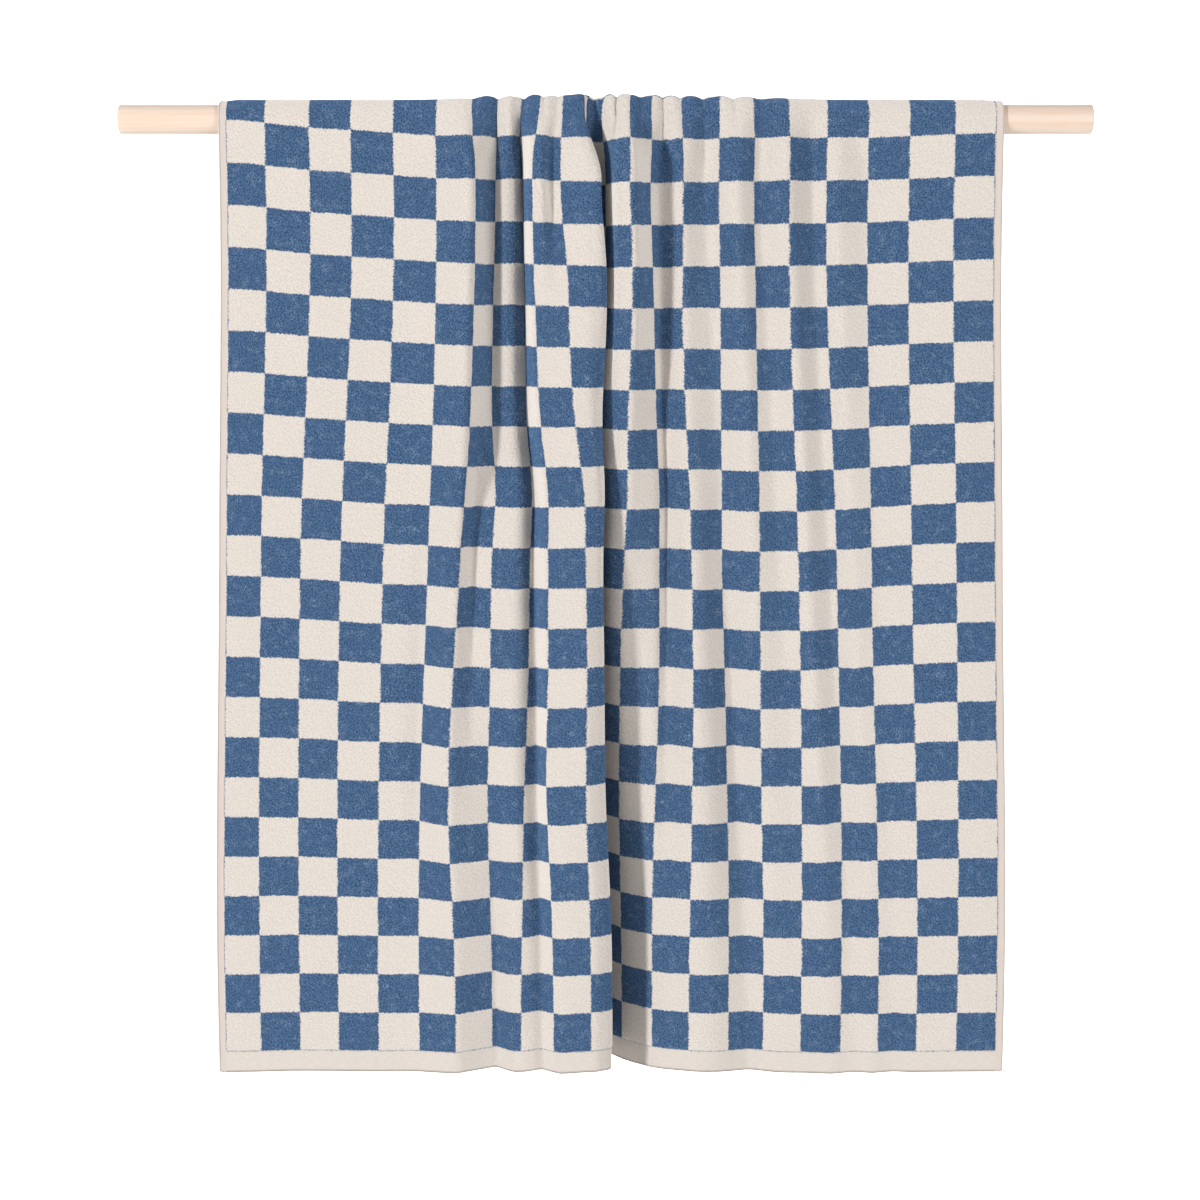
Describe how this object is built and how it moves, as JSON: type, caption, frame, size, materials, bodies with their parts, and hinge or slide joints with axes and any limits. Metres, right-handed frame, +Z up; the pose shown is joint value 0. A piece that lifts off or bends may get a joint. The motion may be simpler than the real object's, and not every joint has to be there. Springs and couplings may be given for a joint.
{
  "type": "bath towel on a wooden rod",
  "caption": "Checked terry bath towel folded over a plain round wooden rod, pinched at its middle so that it hangs in upright folds.",
  "frame": {"origin": "on the rod's axis, at the middle of the rod's length", "axes": "+X along the rod, to the right as seen from the front; the towel's front faces -Y; +Z up"},
  "size_m": [0.679, 0.127, 0.7156],
  "materials": {
    "towel": "terry pile in slate blue and cream squares, flat woven hems",
    "rod": "pale sanded wood, no varnish"
  },
  "bodies": {
    "root": {"towel": "towel", "rod": "rod"}
  },
  "joints": []
}
